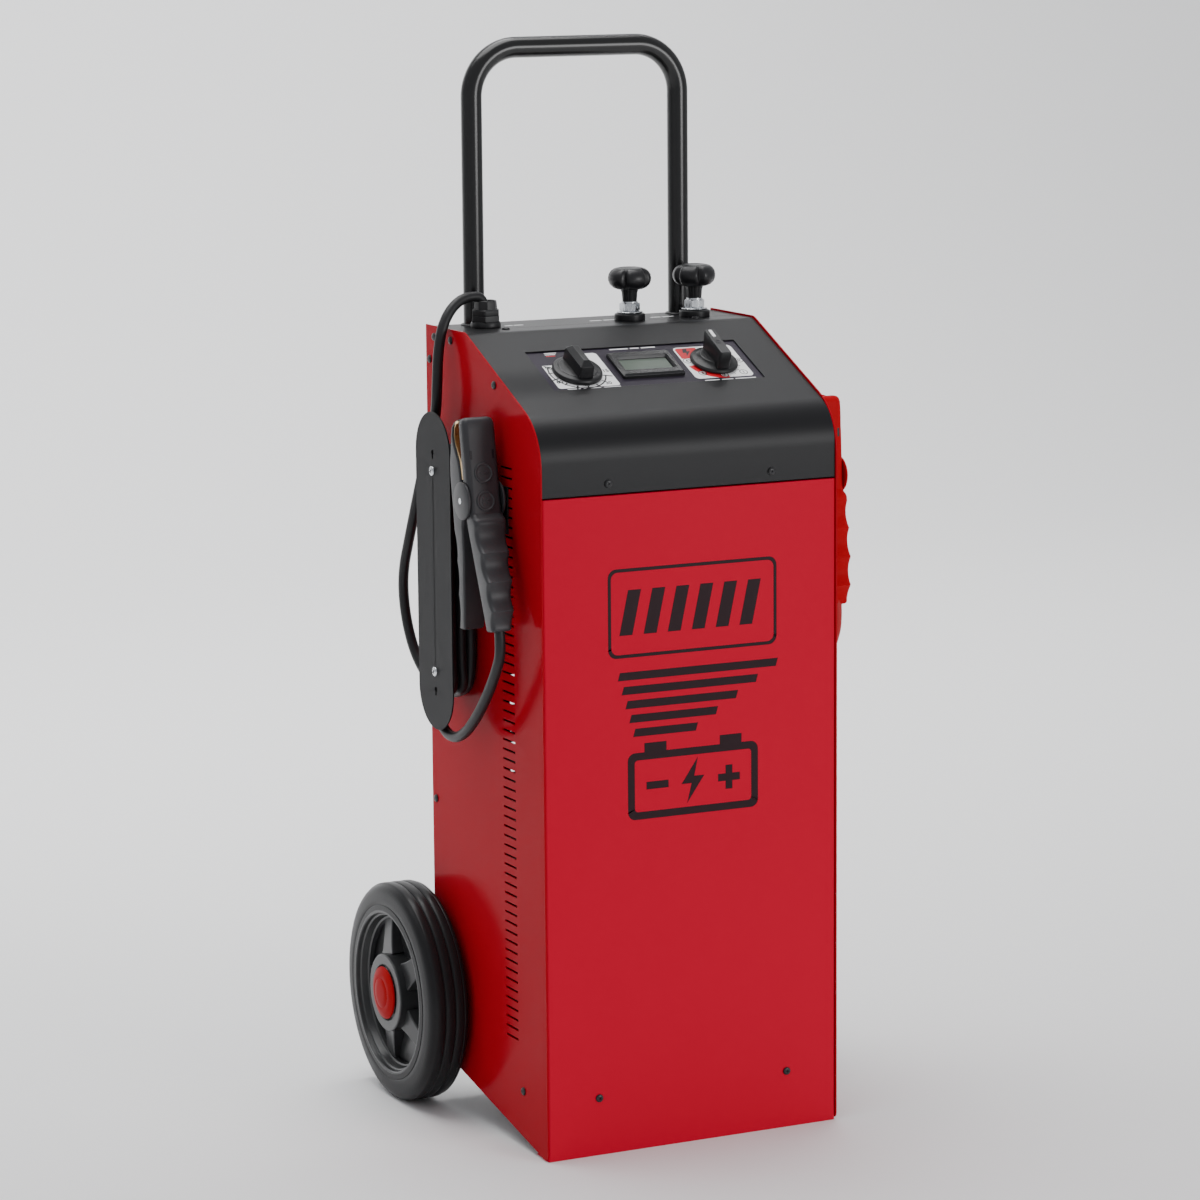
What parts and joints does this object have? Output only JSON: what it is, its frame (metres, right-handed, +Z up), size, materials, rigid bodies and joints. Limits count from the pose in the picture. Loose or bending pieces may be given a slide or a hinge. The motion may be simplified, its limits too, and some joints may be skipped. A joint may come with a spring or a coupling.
{
  "type": "trolley battery charger",
  "caption": "Upright car battery charger and starter in a folded steel cabinet with a hand-truck handle, rear wheels, dial controls, screw terminals and clamp leads stowed on side wraps.",
  "frame": {"origin": "middle of the flat floor flange folded under the front panel, on the floor", "axes": "+X to the right seen from the front, +Y from the front panel towards the wheels, +Z up"},
  "size_m": [0.4332, 0.3907, 1.0745],
  "materials": {
    "front_red": "gloss",
    "side_red": "gloss",
    "hood_black": "satin",
    "inner_steel": "satin",
    "handle_black": "gloss",
    "zinc": "satin",
    "black_screw": "satin",
    "black_plastic": "satin",
    "red_plastic": "gloss",
    "wheel_plastic": "satin",
    "tyre_rubber": "matte",
    "black_lead": "satin",
    "red_lead": "satin",
    "copper": "satin",
    "label_print": "matte",
    "bezel_black": "satin",
    "display_glass": "gloss",
    "electronics": "matte",
    "laminations": "matte",
    "coil_tape": "satin",
    "heat_sink": "satin"
  },
  "bodies": {
    "cabinet": {"left_side_panel": "side_red", "right_side_panel": "side_red", "front_panel": "front_red", "rear_panel": "hood_black", "base_shelf": "inner_steel", "hood": "hood_black", "control_label": "label_print", "meter_bezel": "bezel_black", "meter_window": "display_glass", "meter_module": "electronics", "handle_tube": "handle_black", "handle_bolts": "zinc", "lead_gland_body": "black_plastic", "lead_gland_cap": "black_plastic", "mains_gland": "black_plastic", "terminal_insulators": "black_plastic", "terminal_studs": "zinc", "terminal_nuts": "zinc", "panel_screws": "black_screw", "wrap_plates": "hood_black", "wrap_posts": "black_plastic", "wrap_screws": "zinc", "clamp_pegs": "black_plastic", "axle": "zinc", "axle_brackets": "inner_steel", "transformer_core": "laminations", "primary_winding": "coil_tape", "secondary_winding": "coil_tape", "transformer_rails": "inner_steel", "rectifier_heat_sink": "heat_sink", "rectifier_diodes": "zinc", "timer_body": "black_plastic", "selector_body": "black_plastic", "black_lead_tube": "black_lead", "black_lead_winding": "black_lead", "black_lead_tail": "black_lead", "red_lead_winding": "red_lead", "red_lead_tail": "red_lead", "red_lead_stub": "red_lead", "red_lead_lug": "copper", "black_clamp_front_half": "black_plastic", "red_clamp_front_half": "red_plastic", "clamp_front_jaws": "copper", "clamp_pivots": "zinc"},
    "left_wheel": {"left_tyre": "tyre_rubber", "left_rim": "wheel_plastic", "left_hub_cap": "red_plastic"},
    "right_wheel": {"right_tyre": "tyre_rubber", "right_rim": "wheel_plastic", "right_hub_cap": "red_plastic"},
    "timer_knob": {"timer_knob": "black_plastic"},
    "selector_knob": {"selector_knob": "black_plastic"},
    "low_voltage_washer": {"low_voltage_washer": "zinc"},
    "low_voltage_knob": {"low_voltage_knob": "black_plastic"},
    "high_voltage_washer": {"high_voltage_washer": "zinc"},
    "high_voltage_knob": {"high_voltage_knob": "black_plastic"},
    "black_clamp_jaw": {"black_clamp_rear_half": "black_plastic", "black_clamp_rear_jaw": "copper"},
    "red_clamp_jaw": {"red_clamp_rear_half": "red_plastic", "red_clamp_rear_jaw": "copper"}
  },
  "joints": [
    {"name": "left_wheel_spin", "type": "hinge", "parent": "cabinet", "child": "left_wheel", "pos_m": [-0.186, 0.262, 0.1115], "axis": [1, 0, 0], "continuous": true},
    {"name": "right_wheel_spin", "type": "hinge", "parent": "cabinet", "child": "right_wheel", "pos_m": [0.186, 0.262, 0.1115], "axis": [1, 0, 0], "continuous": true},
    {"name": "timer_turn", "type": "hinge", "parent": "cabinet", "child": "timer_knob", "pos_m": [-0.0735, 0.08242, 0.7568], "axis": [0, 0.4195, -0.9078], "range_deg": [0, 300]},
    {"name": "selector_turn", "type": "hinge", "parent": "cabinet", "child": "selector_knob", "pos_m": [0.0775, 0.0856, 0.75827], "axis": [0, 0.4195, -0.9078], "range_deg": [0, 240]},
    {"name": "low_voltage_knob_turn", "type": "hinge", "parent": "low_voltage_washer", "child": "low_voltage_knob", "pos_m": [0.04, 0.196, 0.83], "axis": [0, 0, 1], "range_deg": [0, 720]},
    {"name": "high_voltage_knob_turn", "type": "hinge", "parent": "high_voltage_washer", "child": "high_voltage_knob", "pos_m": [0.113, 0.196, 0.83], "axis": [0, 0, 1], "range_deg": [0, 720]},
    {"name": "low_voltage_washer_lift", "type": "slide", "parent": "cabinet", "child": "low_voltage_washer", "axis": [0, 0, 1], "range_m": [0, 0.003]},
    {"name": "high_voltage_washer_lift", "type": "slide", "parent": "cabinet", "child": "high_voltage_washer", "axis": [0, 0, 1], "range_m": [0, 0.003]},
    {"name": "black_clamp_open", "type": "hinge", "parent": "cabinet", "child": "black_clamp_jaw", "pos_m": [-0.185, 0.069, 0.641], "axis": [-1, 0, 0], "range_deg": [0, 14], "stiffness_Nm_per_rad": 4, "springref_deg": -20.05},
    {"name": "red_clamp_open", "type": "hinge", "parent": "cabinet", "child": "red_clamp_jaw", "pos_m": [0.185, 0.06, 0.641], "axis": [-1, 0, 0], "range_deg": [0, 14], "stiffness_Nm_per_rad": 4, "springref_deg": -20.05}
  ],
  "couplings": [
    {"joint": "low_voltage_washer_lift", "follows": "low_voltage_knob_turn", "m_per_rad": 0.00023873},
    {"joint": "high_voltage_washer_lift", "follows": "high_voltage_knob_turn", "m_per_rad": 0.00023873}
  ]
}
